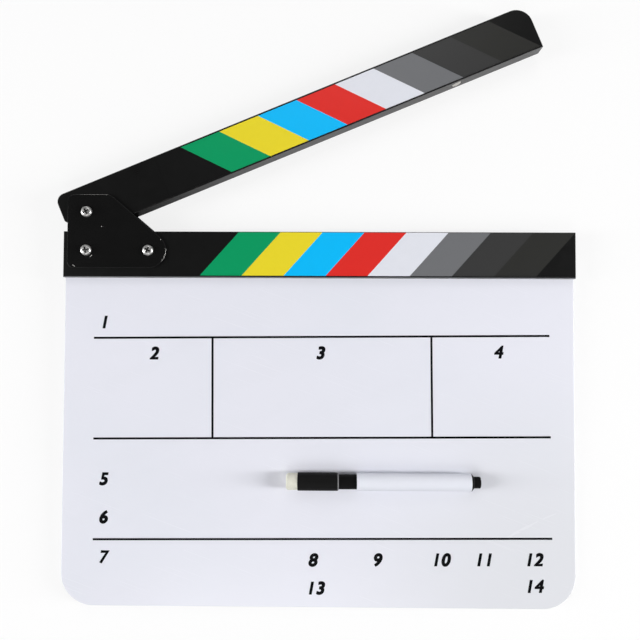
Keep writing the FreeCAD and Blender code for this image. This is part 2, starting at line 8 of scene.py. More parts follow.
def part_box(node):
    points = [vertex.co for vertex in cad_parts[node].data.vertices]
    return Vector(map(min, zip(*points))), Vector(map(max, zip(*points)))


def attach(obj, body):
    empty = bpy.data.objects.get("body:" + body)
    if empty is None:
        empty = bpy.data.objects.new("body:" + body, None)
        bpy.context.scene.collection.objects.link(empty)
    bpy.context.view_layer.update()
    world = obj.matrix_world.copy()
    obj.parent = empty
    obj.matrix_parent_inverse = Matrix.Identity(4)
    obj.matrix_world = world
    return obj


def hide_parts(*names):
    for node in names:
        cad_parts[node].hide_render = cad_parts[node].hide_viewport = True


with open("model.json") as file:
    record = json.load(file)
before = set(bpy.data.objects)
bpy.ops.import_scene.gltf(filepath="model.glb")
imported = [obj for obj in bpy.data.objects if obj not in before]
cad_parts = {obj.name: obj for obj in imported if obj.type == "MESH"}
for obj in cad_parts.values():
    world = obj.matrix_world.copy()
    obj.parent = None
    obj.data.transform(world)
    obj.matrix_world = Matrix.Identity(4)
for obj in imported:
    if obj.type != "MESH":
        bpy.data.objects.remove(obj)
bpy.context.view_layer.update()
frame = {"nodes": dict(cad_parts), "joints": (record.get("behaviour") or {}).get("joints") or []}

# Slate sheet
# A sheet of white cast acrylic that dry-erase ink wipes off, sawn to size and glued into the slot of the
# lower stick. Wiping has left a faint haze and hairlines in its gloss, and painted shade darkens one corner.

MM = 0.001
CLEAN_WHITE = (0.80, 0.805, 0.88, 1)
HAZY_WHITE = (0.775, 0.79, 0.86, 1)
GHOST_GREY = (0.72, 0.73, 0.79, 1)
CORNER_SHADE_GREY = (0.735, 0.745, 0.785, 1)
HAZE_SIZE = 120 * MM
HAZE_RANGE = (0.4, 0.75)
WIPE_WIDTH = 18 * MM
WIPE_STRETCH = 5
WIPE_HEADING = 0.4
WIPE_RANGE = (0.4, 0.8)
WIPE_SHARE = 0.15
HAIRLINE_WIDTH = 0.5 * MM
HAIRLINE_STRETCH = 120
HAIRLINE_HEADING = -0.35
HAIRLINE_RANGE = (0.62, 0.75)
HAIRLINE_DEPTH = 0.002 * MM
SHADED_CORNER = (150 * MM, 0, 0)
CORNER_SHADE_REACH = 170 * MM
CORNER_SHADE_CORE = 20 * MM


class Wire:
    """A shader socket that can stand in a sum: each operator adds a Math node."""

    def __init__(self, finish, socket):
        self.finish = finish
        self.socket = socket

    def math(self, operation, first, second):
        """A Math node on two values."""
        return self.finish.node("Math", {"operation": operation}, {0: first, 1: second})

    def __add__(self, other):
        return self.math("ADD", self, other)

    def __radd__(self, other):
        return self.math("ADD", other, self)

    def __sub__(self, other):
        return self.math("SUBTRACT", self, other)

    def __rsub__(self, other):
        return self.math("SUBTRACT", other, self)

    def __mul__(self, other):
        return self.math("MULTIPLY", self, other)

    def __rmul__(self, other):
        return self.math("MULTIPLY", other, self)

    def __lt__(self, other):
        return self.math("LESS_THAN", self, other)

    def __abs__(self):
        return self.math("ABSOLUTE", self, 0.0)


class Finish:
    """A material with one shader: fixed values, and Wires for what varies over the surface."""

    def __init__(self, name, fixed):
        self.material = bpy.data.materials.new(name)
        self.material.use_nodes = True
        self.tree = self.material.node_tree
        self.shader = self.tree.nodes["Principled BSDF"]
        self.vary(fixed)

    def feed(self, node, values):
        """Sets a node's sockets: a Wire is linked, and any other value is written in."""
        for socket, value in values.items():
            if isinstance(value, Wire):
                self.tree.links.new(value.socket, node.inputs[socket])
            else:
                node.inputs[socket].default_value = value

    def vary(self, values):
        """Sets the shader's own sockets."""
        self.feed(self.shader, values)

    def node(self, kind, settings, values, output=0):
        """Adds any node: its settings first, then the values or links of its sockets."""
        node = self.tree.nodes.new(f"ShaderNode{kind}")
        for setting, value in settings.items():
            setattr(node, setting, value)
        self.feed(node, values)
        return Wire(self, node.outputs[output])

    def place(self, origin=(0, 0, 0), turn=0.0, stretch=(1, 1, 1)):
        """Object coordinates seen from an origin, turned about Z, with lengths divided by a stretch."""
        here = self.node("TexCoord", {}, {}, "Object")
        lie = {"Vector": here, "Location": origin, "Rotation": (0, 0, turn), "Scale": stretch}
        return self.node("Mapping", {"vector_type": "TEXTURE"}, lie)

    def along(self, place):
        """The three coordinates of a place as separate Wires."""
        return [self.node("SeparateXYZ", {}, {0: place}, axis) for axis in range(3)]

    def reach(self, origin):
        """Distance from an upright line through an origin."""
        across, up = self.along(self.place(origin=origin))[:2]
        return self.node("Math", {"operation": "SQRT"}, {0: across * across + up * up})

    def grain(self, size, turn=0.0, stretch=(1, 1, 1), detail=2.0):
        """Noise from 0 to 1 whose blobs are about the given size."""
        place = self.place(turn=turn, stretch=stretch)
        return self.node("TexNoise", {}, {"Vector": place, "Scale": 1 / size, "Detail": detail})

    def fade(self, value, start, end):
        """0 at start and 1 at end, smooth between them, whichever is larger."""
        ends = {"Value": value, "From Min": start, "From Max": end}
        return self.node("MapRange", {"interpolation_type": "SMOOTHSTEP"}, ends)

    def mix(self, share, first, second):
        """A colour between two colours, through the colour sockets of the Mix node."""
        return self.node("Mix", {"data_type": "RGBA"}, {0: share, 6: first, 7: second}, 2)

    def relief(self, height, depth):
        """Raises the surface by a height from 0 to 1 times a depth."""
        self.vary({"Normal": self.node("Bump", {}, {"Height": height, "Distance": depth})})

    def cover(self, share, colour):
        """Lays another colour over the base colour where the share is 1."""
        under = Wire(self, self.shader.inputs["Base Color"].links[0].from_socket)
        self.vary({"Base Color": self.mix(share, under, colour)})

    def dress(self, *names):
        """Puts the finish on CAD pieces."""
        for name in names:
            materials = frame["nodes"][name].data.materials
            materials.clear()
            materials.append(self.material)


acrylic = Finish("white_acrylic", {"IOR": 1.49})
haze = acrylic.fade(acrylic.grain(HAZE_SIZE, detail=4.0), *HAZE_RANGE)
streaks = acrylic.grain(WIPE_WIDTH, turn=WIPE_HEADING, stretch=(WIPE_STRETCH, 1, 1), detail=4.0)
wiped = acrylic.fade(streaks, *WIPE_RANGE)
scratches = acrylic.grain(HAIRLINE_WIDTH, turn=HAIRLINE_HEADING, stretch=(HAIRLINE_STRETCH, 1, 1))
hairlines = acrylic.fade(scratches, *HAIRLINE_RANGE)
# Painted shade: the slate's colour darkens towards its lower right corner.
corner_shade = acrylic.fade(acrylic.reach(SHADED_CORNER), CORNER_SHADE_REACH, CORNER_SHADE_CORE)
wiped_white = acrylic.mix(WIPE_SHARE * wiped, acrylic.mix(haze, CLEAN_WHITE, HAZY_WHITE), GHOST_GREY)
acrylic.vary({
    "Base Color": acrylic.mix(corner_shade, wiped_white, CORNER_SHADE_GREY),
    "Roughness": 0.22 + 0.06 * wiped + 0.08 * hairlines,
})
acrylic.relief(hairlines, -HAIRLINE_DEPTH)
acrylic.dress("slate_board")

# Print on the slate
# Ruled fields with plain numbers, screen printed in black ink that stays when the slate is wiped.
# The screen sat a little askew, so the print leans by about half a degree.

PRINT_CENTRE = Vector((2.0, 98.0)) * MM
PRINT_SKEW = math.radians(0.48)
PRINT_HALF_WIDTH = 134.1 * MM
RULE_RISES = [59.3 * MM, 0.1 * MM, -58.6 * MM]
RULE_WIDTH = 1.25 * MM
FIELD_SIDES = [-63.9 * MM, 64.95 * MM]
INK_DEPTH = 0.03 * MM
FILL_DEPTH = 0.028 * MM
DIGIT_HEIGHT = 7.8 * MM
DIGIT_HEIGHT_SHARE = 0.682
DIGIT_LEAN = 0.2
DIGIT_SPACING = 1.12
DIGIT_SWELL = 0.52 * MM
DIGIT_STEPS = 6
MERGE_REACH = 0.0005 * MM
INK_SPECK = 0.6 * MM
INK_THICK = (0.001, 0.001, 0.002, 1)
INK_THIN = (0.004, 0.004, 0.005, 1)
slate_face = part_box("slate_board")[1].z

# Middle and base line of each field's number in turn, in millimetres from the middle of the print
NUMBER_PLACES = [
    (-128.2, 64.7),
    (-98.5, 46.2),
    (-0.5, 46.0),
    (104.0, 46.0),
    (-128.2, -27.3),
    (-128.2, -49.5),
    (-128.2, -72.6),
    (-5.5, -74.6),
    (32.0, -74.6),
    (69.0, -74.6),
    (94.0, -74.6),
    (123.0, -74.6),
    (-4.0, -90.8),
    (123.0, -89.9),
]

ink = Finish("printed_ink", {"Specular IOR Level": 0.06})
speckle = ink.grain(INK_SPECK, detail=3.0)
ink.vary({
    "Base Color": ink.mix(speckle, INK_THICK, INK_THIN),
    "Roughness": 0.5 + 0.12 * speckle,
})


def deselect():
    """Leaves nothing selected, because an operator acts on all that is."""
    bpy.ops.object.select_all(action="DESELECT")


def settle():
    """Puts the place, turn and scale of the selected pieces into their meshes."""
    bpy.ops.object.transform_apply(location=True, rotation=True, scale=True)


def join(pieces, name):
    """Joins finished meshes into one piece, at the origin."""
    deselect()
    for piece in pieces:
        piece.select_set(True)
    bpy.context.view_layer.objects.active = pieces[0]
    bpy.ops.object.join()
    pieces[0].name = name
    settle()
    return pieces[0]


def apply_modifier(piece, kind, settings):
    """Adds a modifier to a piece and applies it."""
    deselect()
    bpy.context.view_layer.objects.active = piece
    modifier = piece.modifiers.new(kind.lower(), kind)
    for setting, value in settings.items():
        setattr(modifier, setting, value)
    bpy.ops.object.modifier_apply(modifier=modifier.name)


def print_on_slate(pieces, name):
    """Joins shapes drawn about the print's middle into a layer of ink on the slate."""
    layer = join(pieces, name)
    layer.location = (*PRINT_CENTRE, slate_face + INK_DEPTH)
    layer.rotation_euler.z = PRINT_SKEW
    layer.select_set(True)
    settle()
    layer.data.materials.clear()
    layer.data.materials.append(ink.material)
    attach(layer, "slate")


def flat_bar(left, right, low, high):
    """A flat rectangle between four edges, drawn in edit mode so that its object stays at the origin."""
    deselect()
    bpy.ops.mesh.primitive_plane_add(size=1, enter_editmode=True)
    bpy.ops.transform.resize(value=(right - left, high - low, 1))
    bpy.ops.transform.translate(value=((left + right) / 2, (low + high) / 2, 0))
    bpy.ops.object.mode_set(mode="OBJECT")
    return bpy.context.object


def close_seams(piece):
    """Merges the points that lie on one another and turns all faces outwards."""
    deselect()
    bpy.context.view_layer.objects.active = piece
    bpy.ops.object.mode_set(mode="EDIT")
    bpy.ops.mesh.select_all(action="SELECT")
    bpy.ops.mesh.remove_doubles(threshold=MERGE_REACH)
    bpy.ops.mesh.normals_make_consistent(inside=False)
    bpy.ops.object.mode_set(mode="OBJECT")


def bold_number(number, middle, base):
    """A leaning number: filled digits, and swollen outlines round them."""
    deselect()
    bpy.ops.object.text_add()
    digits = bpy.context.object.data
    digits.body = str(number)
    digits.size = (DIGIT_HEIGHT - 2 * DIGIT_SWELL) / DIGIT_HEIGHT_SHARE
    digits.shear = DIGIT_LEAN
    digits.space_character = DIGIT_SPACING
    digits.align_x = "CENTER"
    digits.resolution_u = DIGIT_STEPS
    digits.extrude = FILL_DEPTH
    bpy.ops.object.convert(target="CURVE")
    filled = bpy.context.object
    bpy.ops.object.duplicate()
    outlines = bpy.context.object
    outlines.data.dimensions = "3D"
    outlines.data.fill_mode = "FULL"
    outlines.data.twist_mode = "Z_UP"
    outlines.data.extrude = 0.0
    outlines.data.bevel_depth = DIGIT_SWELL
    outlines.data.bevel_resolution = 0
    filled.select_set(True)
    bpy.ops.object.convert(target="MESH")
    outlines.scale.z = INK_DEPTH / DIGIT_SWELL
    for piece in (filled, outlines):
        piece.location = (middle, base + DIGIT_SWELL, 0)
    settle()
    bpy.ops.object.shade_flat()
    for piece in (filled, outlines):
        close_seams(piece)
    return [filled, outlines]


rules = []
half_rule = RULE_WIDTH / 2
for rise in RULE_RISES:
    rules.append(flat_bar(-PRINT_HALF_WIDTH, PRINT_HALF_WIDTH, rise - half_rule, rise + half_rule))
for side in FIELD_SIDES:
    rules.append(flat_bar(side - half_rule, side + half_rule, RULE_RISES[1], RULE_RISES[0]))
for rule in rules:
    apply_modifier(rule, "SOLIDIFY", {"thickness": INK_DEPTH, "offset": -1.0})
print_on_slate(rules, "field_rules")
numbers = []
for number, (middle, base) in enumerate(NUMBER_PLACES, start=1):
    numbers += bold_number(number, middle * MM, base * MM)
print_on_slate(numbers, "field_numbers")

# Sticks
# Two bars of close-grained wood, sanded round at their edges and sprayed satin black. The paint lets a little
# of the grain through. It is rubbed thin along the edges, and a pale painted highlight runs along the lower
# stick's foot.

PAINT_BLACK = (0.002, 0.002, 0.002, 1)
PAINT_THIN = (0.004, 0.004, 0.004, 1)
PAINT_RUBBED = (0.035, 0.032, 0.03, 1)
FOOT_HIGHLIGHT_GREY = (0.13, 0.135, 0.145, 1)
PORE_WIDTH = 0.5 * MM
PORE_STRETCH = 60
PORE_DEPTH = 0.008 * MM
MOTTLE_SIZE = 9 * MM
RUB_REACH = 1.1 * MM
RUB_CORE = 0.2 * MM
RUB_PATCH = 5 * MM
RUB_PATCH_RANGE = (0.5, 0.68)
RUB_SHARE = 0.5
FOOT_EDGE = 0.45 * MM
hinge = next(joint for joint in frame["joints"] if joint["name"] == "clap_hinge")
PIVOT = Vector(hinge["pos_m"])
OPEN_ANGLE = math.radians(-hinge["range_deg"][0])
on_lower_stick = Matrix.Translation(PIVOT)
on_upper_stick = Matrix.Translation(PIVOT) @ Matrix.Rotation(OPEN_ANGLE, 4, "Z")


def box_on_stick(node, stick):
    """Lowest and highest corner of a CAD piece in its own stick's frame, which starts at the pivot."""
    corners = [stick.inverted() @ vertex.co for vertex in frame["nodes"][node].data.vertices]
    low = Vector([min(corner[axis] for corner in corners) for axis in range(3)])
    high = Vector([max(corner[axis] for corner in corners) for axis in range(3)])
    return low, high


def paint_stick(node, turn, stick, foot_highlight):
    """Satin black paint, with a share of painted highlight along the foot's front edge."""
    low, high = box_on_stick(node, stick)
    paint = Finish(f"{node}_paint", {})
    pores = paint.grain(PORE_WIDTH, turn=turn, stretch=(PORE_STRETCH, 1, 1), detail=3.0)
    mottle = paint.grain(MOTTLE_SIZE, detail=3.0)
    up, out = paint.along(paint.place(origin=PIVOT, turn=turn))[1:]
    middle = (low.y + high.y) / 2
    inset = (high.y - middle) - abs(up - middle) + (high.z - abs(out))
    patches = paint.fade(paint.grain(RUB_PATCH, detail=4.0), *RUB_PATCH_RANGE)
    rubbed = paint.fade(inset, RUB_REACH, RUB_CORE) * patches
    paint.vary({
        "Base Color": paint.mix(RUB_SHARE * rubbed, paint.mix(mottle, PAINT_BLACK, PAINT_THIN), PAINT_RUBBED),
        "Roughness": 0.24 + 0.06 * mottle + 0.04 * pores,
    })
    # Painted highlight: a pale grey line along the front edge of the foot.
    front = paint.fade(out, high.z - 2 * FOOT_EDGE, high.z - FOOT_EDGE)
    paint.cover(foot_highlight * (up < low.y + FOOT_EDGE) * front, FOOT_HIGHLIGHT_GREY)
    paint.relief(pores, PORE_DEPTH)
    paint.dress(node)


paint_stick("lower_stick", 0.0, on_lower_stick, foot_highlight=1.0)
paint_stick("upper_stick", OPEN_ANGLE, on_upper_stick, foot_highlight=0.0)

# Stripe films
# A strip of printed vinyl glued to the front of each stick, with slanting bars in the colours of a camera
# test chart. The bars lean opposite ways, so that they meet in chevrons when the sticks are shut.

BAND_PITCH = 24.56 * MM
BAND_LEAN = 0.89
LOWER_REACH = 89.45 * MM
UPPER_REACH = 88.15 * MM
UPPER_DROP = 0.25 * MM
TIP_RADIUS = 8.85 * MM
TIP_STEPS = 12
CLOUD_SIZE = 4 * MM
DOT_SIZE = 0.35 * MM
DOT_HEIGHT = 0.003 * MM
DEEPER_SHARE = 0.93
BLACK_INK = (0.0045, 0.0045, 0.0045)
INKS = [
    ("green", (0.001, 0.32, 0.116)),
    ("yellow", (0.835, 0.69, 0.026)),
    ("sky_blue", (0.002, 0.505, 0.975)),
    ("red", (0.745, 0.028, 0.022)),
    ("white", (0.77, 0.785, 0.85)),
    ("mid_grey", (0.164, 0.168, 0.177)),
    ("dark_grey", (0.041, 0.041, 0.041)),
    ("charcoal", (0.0265, 0.0265, 0.0245)),
]


def vinyl_ink(name, colour):
    """Ink under a thin clear laminate: the colour is a little uneven and the gloss has a fine pebble."""
    vinyl = Finish(f"{name}_vinyl", {"Specular IOR Level": 0.4})
    cloud = vinyl.grain(CLOUD_SIZE, detail=4.0)
    dots = vinyl.grain(DOT_SIZE)
    deeper = [DEEPER_SHARE * channel for channel in colour]
    vinyl.vary({
        "Base Color": vinyl.mix(0.5 * cloud + 0.5 * dots, (*colour, 1), (*deeper, 1)),
        "Roughness": 0.26 + 0.08 * cloud,
    })
    vinyl.relief(dots, DOT_HEIGHT)
    return vinyl.material


black_vinyl = vinyl_ink("black", BLACK_INK)
band_vinyls = [vinyl_ink(name, colour) for name, colour in INKS]


def pick(piece, test):
    """Selects, in edit mode, the points of a mesh that pass a test, with the edges and faces between them."""
    bpy.ops.object.mode_set(mode="OBJECT")
    deselect()
    bpy.context.view_layer.objects.active = piece
    bpy.ops.object.mode_set(mode="EDIT")
    bpy.ops.mesh.select_mode(type="VERT")
    bpy.ops.mesh.select_all(action="DESELECT")
    bpy.ops.object.mode_set(mode="OBJECT")
    for point in piece.data.vertices:
        point.select = test(point.co)
    bpy.ops.object.mode_set(mode="EDIT")
    bpy.ops.mesh.select_mode(type="VERT")


def stripe_film(name, node, stick, body, lean, reach, meeting_edge, drop):
    """A film on its stick, with bars cut by slanting lines and its foot set lower by a drop."""
    low, high = box_on_stick(node, stick)
    film = flat_bar(low.x, high.x, low.y - drop, high.y)
    film.name = name
    if node == "upper_stripe_film":
        pick(film, lambda point: (point.xy - high.xy).length < TIP_RADIUS)
        bpy.ops.mesh.bevel(offset=TIP_RADIUS, segments=TIP_STEPS, affect="VERTICES")
    across_bars = Vector((1, -lean, 0)).normalized()
    bpy.ops.object.mode_set(mode="EDIT")
    for count in range(len(INKS) + 1):
        border = Vector((reach + count * BAND_PITCH, meeting_edge, 0))
        bpy.ops.mesh.select_all(action="SELECT")
        bpy.ops.mesh.bisect(plane_co=border, plane_no=across_bars)
    bpy.ops.object.mode_set(mode="OBJECT")
    for vinyl in [black_vinyl, *band_vinyls]:
        film.data.materials.append(vinyl)
    for face in film.data.polygons:
        distance = face.center.x - lean * (face.center.y - meeting_edge) - reach
        band = math.floor(distance / BAND_PITCH)
        face.material_index = band + 1 if 0 <= band < len(INKS) else 0
    apply_modifier(film, "SOLIDIFY", {"thickness": high.z - low.z, "offset": -1.0})
    film.matrix_world = stick @ Matrix.Translation((0, 0, high.z))
    film.select_set(True)
    settle()
    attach(film, body)
    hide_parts(node)


lower_meeting_edge = box_on_stick("lower_stick", on_lower_stick)[1].y
upper_meeting_edge = box_on_stick("upper_stick", on_upper_stick)[0].y
stripe_film("lower_stripes", "lower_stripe_film", on_lower_stick, "slate", BAND_LEAN, LOWER_REACH,
            lower_meeting_edge, drop=0.0)
stripe_film("upper_stripes", "upper_stripe_film", on_upper_stick, "clap", -BAND_LEAN, UPPER_REACH,
            upper_meeting_edge, drop=UPPER_DROP)

# Hinge plates
# A pair of steel plates, blanked and deburred, screwed through the sticks. Their satin black powder coat has
# a fine orange peel and a few pale nicks from handling, and pale painted highlights along the top edge and the
# nose.

COAT_BLACK = (0.0045, 0.0045, 0.0045, 1)
COAT_THIN = (0.006, 0.006, 0.006, 1)
BARE_STEEL_AND_HIGHLIGHT = (0.5, 0.49, 0.47, 1)
PEEL_SIZE = 0.7 * MM
PEEL_HEIGHT = 0.004 * MM
COAT_CLOUD_SIZE = 12 * MM
CHIP_SIZE = 0.5 * MM
CHIP_RANGE = (0.3, 0.5)
NICK_END_SHARE = 1 / 3
NICK_SIDE_SHARE = 1 / 5

# Middle, heading, length and width of each nick or painted edge highlight, in millimetres and radians
NICKS_AND_HIGHLIGHTS = [
    ((-131.5, 240.2), 0.0, 19.0, 0.22),
    ((-89.55, 206.9), 1.52, 3.4, 0.22),
    ((-90.05, 204.3), 1.26, 3.2, 0.28),
    ((-91.2, 201.9), 1.0, 2.6, 0.2),
    ((-133.2, 204.0), 0.75, 2.2, 0.5),
    ((-143.3, 198.4), -0.6, 2.0, 0.45),
    ((-127.1, 221.4), 0.4, 0.7, 0.55),
    ((-92.4, 213.8), 1.1, 0.6, 0.5),
]
coat = Finish("powder_coat", {"Specular IOR Level": 0.3})
peel = coat.grain(PEEL_SIZE, detail=1.0)
coat_cloud = coat.grain(COAT_CLOUD_SIZE, detail=3.0)
chips = coat.fade(coat.grain(CHIP_SIZE, detail=2.0), *CHIP_RANGE)
spots = []
for middle, heading, length, width in NICKS_AND_HIGHLIGHTS:
    along, across = coat.along(coat.place(origin=(*Vector(middle) * MM, 0), turn=heading))[:2]
    inside = coat.fade(abs(along), length / 2 * MM, length * NICK_END_SHARE * MM)
    spots.append(inside * coat.fade(abs(across), width / 2 * MM, width * NICK_SIDE_SHARE * MM))
# The first four entries are painted highlights on the top edge and the nose; the others are pale nicks.
nick_and_highlight_mask = sum(spots) * chips
coat.vary({
    "Base Color": coat.mix(nick_and_highlight_mask, coat.mix(coat_cloud, COAT_BLACK, COAT_THIN), BARE_STEEL_AND_HIGHLIGHT),
    "Roughness": 0.2 + 0.06 * coat_cloud + 0.15 * nick_and_highlight_mask,
})
coat.relief(peel, PEEL_HEIGHT)
coat.dress("front_hinge_plate", "rear_hinge_plate")

# Screws and nuts
# Cross-recess pan-head screws and hexagon nuts of zinc-plated steel clamp the plates to the sticks. The shanks
# are rolled with a thread, the recesses are darkened by grime and painted shade, and the pivot's lock nut has a
# ring of nylon in its collar.

HEAD_SIDES = 64
HEAD_ROUND = 1.5 * MM
HEAD_ROUND_STEPS = 8
HEAD_CROWN = 0.25 * MM
CROWN_INSET = 0.9 * MM
RECESS_SPAN = 3.8 * MM
RECESS_WIDTH = 1.0 * MM
RECESS_DEPTH = 1.3 * MM
RECESS_TAPER_SHARE = 0.5
SHANK_SIDES = 48
SHANK_RADIUS = 1.75 * MM
TAIL_BEVEL = 0.4 * MM
THREAD_PITCH = 0.6 * MM
THREAD_LAND = 0.1 * MM
THREAD_TURNS = 4
GROOVE_SHARE = 0.84
FLAT_REACH = 0.01 * MM
SMOOTH_ANGLE = math.radians(35)
PIVOT_SCREW_TURN = 0.5
FIXING_SCREW_TURNS = (0.2, 1.1)
ZINC_BRIGHT = (0.66, 0.65, 0.63, 1)
ZINC_BLOOMED = (0.52, 0.52, 0.52, 1)
BLOOM_SIZE = 1.6 * MM
GRIME_AND_SHADE_DARK = (0.03, 0.03, 0.03, 1)
GRIME_AND_SHADE_PALE = (0.12, 0.12, 0.115, 1)
RECESS_MOTTLE_SIZE = 0.4 * MM
plate_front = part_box("front_hinge_plate")[1].z
plate_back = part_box("rear_hinge_plate")[0].z


def zinc_plate(name):
    """Zinc plating, dulled in patches."""
    zinc = Finish(name, {"Metallic": 1.0})
    bloom = zinc.grain(BLOOM_SIZE, detail=4.0)
    zinc.vary({
        "Base Color": zinc.mix(bloom, ZINC_BRIGHT, ZINC_BLOOMED),
        "Roughness": 0.34 + 0.14 * bloom,
    })
    return zinc


# Painted shade with grime: the faces of the recesses are dark.
grime_and_shade = Finish("recess_grime_and_shade", {"Metallic": 0.6})
recess_mottle = grime_and_shade.grain(RECESS_MOTTLE_SIZE, detail=3.0)
grime_and_shade.vary({
    "Base Color": grime_and_shade.mix(recess_mottle, GRIME_AND_SHADE_DARK, GRIME_AND_SHADE_PALE),
    "Roughness": 0.5 + 0.2 * recess_mottle,
})
screw_zinc = zinc_plate("zinc_screw")


def cut_blade(head, top, turn):
    """Sinks one tapered pair of arms of the cross recess into a head, with dark grime and painted shade on the
    cut.
    """
    widest = 2 * RECESS_SPAN / (1 + RECESS_TAPER_SHARE)
    deselect()
    bpy.ops.mesh.primitive_cube_add(size=1)
    blade = bpy.context.object
    pick(blade, lambda point: point.z < 0)
    bpy.ops.transform.resize(value=(RECESS_TAPER_SHARE, 1, 1))
    bpy.ops.mesh.select_all(action="SELECT")
    bpy.ops.transform.resize(value=(widest, RECESS_WIDTH, 2 * RECESS_DEPTH))
    bpy.ops.object.mode_set(mode="OBJECT")
    blade.data.materials.append(grime_and_shade.material)
    blade.location.z = top
    blade.rotation_euler.z = turn
    blade.select_set(True)
    settle()
    cut = {"object": blade, "operation": "DIFFERENCE", "solver": "EXACT", "material_mode": "TRANSFER"}
    apply_modifier(head, "BOOLEAN", cut)
    bpy.data.objects.remove(blade)


def pan_head(radius, rise):
    """A domed head with a cross recess, standing on the origin."""
    deselect()
    side = rise - HEAD_CROWN
    bpy.ops.mesh.primitive_cylinder_add(vertices=HEAD_SIDES, radius=radius, depth=side)
    head = bpy.context.object
    head.data.materials.append(screw_zinc.material)
    pick(head, lambda point: point.z > 0)
    bpy.ops.mesh.bevel(offset=min(HEAD_ROUND, side), segments=HEAD_ROUND_STEPS, affect="EDGES")
    pick(head, lambda point: point.z > side / 2 - FLAT_REACH)
    bpy.ops.mesh.inset(thickness=CROWN_INSET)
    bpy.ops.transform.translate(value=(0, 0, HEAD_CROWN))
    bpy.ops.mesh.select_all(action="SELECT")
    bpy.ops.transform.translate(value=(0, 0, side / 2))
    bpy.ops.object.mode_set(mode="OBJECT")
    for turn in (0, math.pi / 2):
        cut_blade(head, rise, turn)
    return head


def threaded_shank(length):
    """A shank that hangs from the origin and ends in a thread and a bevelled tail."""
    deselect()
    bpy.ops.mesh.primitive_cylinder_add(vertices=SHANK_SIDES, radius=SHANK_RADIUS, depth=length)
    shank = bpy.context.object
    shank.data.materials.append(screw_zinc.material)
    pick(shank, lambda point: point.z < 0)
    bpy.ops.mesh.bevel(offset=TAIL_BEVEL, segments=1, affect="EDGES")
    bpy.ops.mesh.select_all(action="SELECT")
    bpy.ops.transform.translate(value=(0, 0, -length / 2))
    grooves = []
    for turn in range(THREAD_TURNS):
        crest = TAIL_BEVEL + THREAD_LAND - length + turn * THREAD_PITCH
        grooves.append(crest + THREAD_PITCH / 2)
        for cut_at in (crest, crest + THREAD_PITCH / 2, crest + THREAD_PITCH):
            bpy.ops.mesh.select_all(action="SELECT")
            bpy.ops.mesh.bisect(plane_co=(0, 0, cut_at), plane_no=(0, 0, 1))
    for groove in grooves:
        pick(shank, lambda point: abs(point.z - groove) < FLAT_REACH)
        bpy.ops.transform.resize(value=(GROOVE_SHARE, GROOVE_SHARE, 1))
    bpy.ops.object.mode_set(mode="OBJECT")
    return shank


def copy_to(piece, place, turn):
    """A copy of a finished piece with a mesh of its own, set at a place and turned about Z."""
    deselect()
    piece.select_set(True)
    bpy.context.view_layer.objects.active = piece
    bpy.ops.object.duplicate()
    twin = bpy.context.object
    twin.location = place
    twin.rotation_euler.z = turn
    return twin


def fit_screws(node, name, head, places):
    """Copies of the head, on shanks of the CAD piece's length, joined into one piece that stands for it."""
    shank = threaded_shank(plate_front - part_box(node)[0].z)
    pieces = []
    for across, up, turn in places:
        pieces.append(copy_to(head, (across, up, plate_front), turn))
        pieces.append(copy_to(shank, (across, up, plate_front), 0.0))
    bpy.data.objects.remove(shank)
    screws = join(pieces, name)
    screws.select_set(True)
    bpy.ops.object.shade_smooth_by_angle(angle=SMOOTH_ANGLE)
    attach(screws, "slate")
    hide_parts(node)


screw_low, screw_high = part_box("pivot_screw")
head_radius = (screw_high.x - screw_low.x) / 2
pan = pan_head(head_radius, screw_high.z - plate_front)
fit_screws("pivot_screw", "pivot_pan_screw", pan, [(PIVOT.x, PIVOT.y, PIVOT_SCREW_TURN)])
screw_low, screw_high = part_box("fixing_screws")
fixing_rise = (screw_low.y + screw_high.y) / 2
fixing_reaches = (screw_low.x + head_radius, screw_high.x - head_radius)
fixing_places = [(across, fixing_rise, turn) for across, turn in zip(fixing_reaches, FIXING_SCREW_TURNS)]
fit_screws("fixing_screws", "fixing_pan_screws", pan, fixing_places)
bpy.data.objects.remove(pan)
zinc_plate("zinc_nut").dress("fixing_nuts")

RING_RADIUS = 2.3 * MM
COLLAR_START = 3.6 * MM
RING_BLUE = (0.06, 0.16, 0.42, 1)
lock_nut = zinc_plate("zinc_lock_nut")
out = lock_nut.along(lock_nut.place(origin=PIVOT))[2]
ring = (lock_nut.reach(PIVOT) < RING_RADIUS) * (out < plate_back - COLLAR_START)
lock_nut.cover(ring, RING_BLUE)
lock_nut.vary({"Metallic": 1 - ring})
lock_nut.dress("pivot_lock_nut")

# Washers and magnets
# Thin rings punched from natural nylon keep the swinging stick off the plates. Two nickel-plated discs, glued
# into the sticks' meeting edges, pull them shut.

NYLON_CLEAR = (0.78, 0.76, 0.70, 1)
NYLON_CLOUDED = (0.70, 0.68, 0.61, 1)
NYLON_CLOUD_SIZE = 1.5 * MM
NICKEL_BRIGHT = (0.72, 0.70, 0.65, 1)
NICKEL_RUBBED = (0.60, 0.58, 0.54, 1)
NICKEL_RUB_WIDTH = 0.4 * MM
NICKEL_RUB_STRETCH = 6
nylon = Finish("natural_nylon", {"IOR": 1.53})
nylon_cloud = nylon.grain(NYLON_CLOUD_SIZE, detail=3.0)
nylon.vary({
    "Base Color": nylon.mix(nylon_cloud, NYLON_CLEAR, NYLON_CLOUDED),
    "Roughness": 0.38 + 0.15 * nylon_cloud,
})
nylon.dress("pivot_washers")

nickel = Finish("nickel_plate", {"Metallic": 1.0})
rub = nickel.grain(NICKEL_RUB_WIDTH, stretch=(NICKEL_RUB_STRETCH, NICKEL_RUB_STRETCH, 1), detail=3.0)
nickel.vary({
    "Base Color": nickel.mix(rub, NICKEL_BRIGHT, NICKEL_RUBBED),
    "Roughness": 0.16 + 0.18 * rub,
})
nickel.dress("lower_magnet", "upper_magnet")

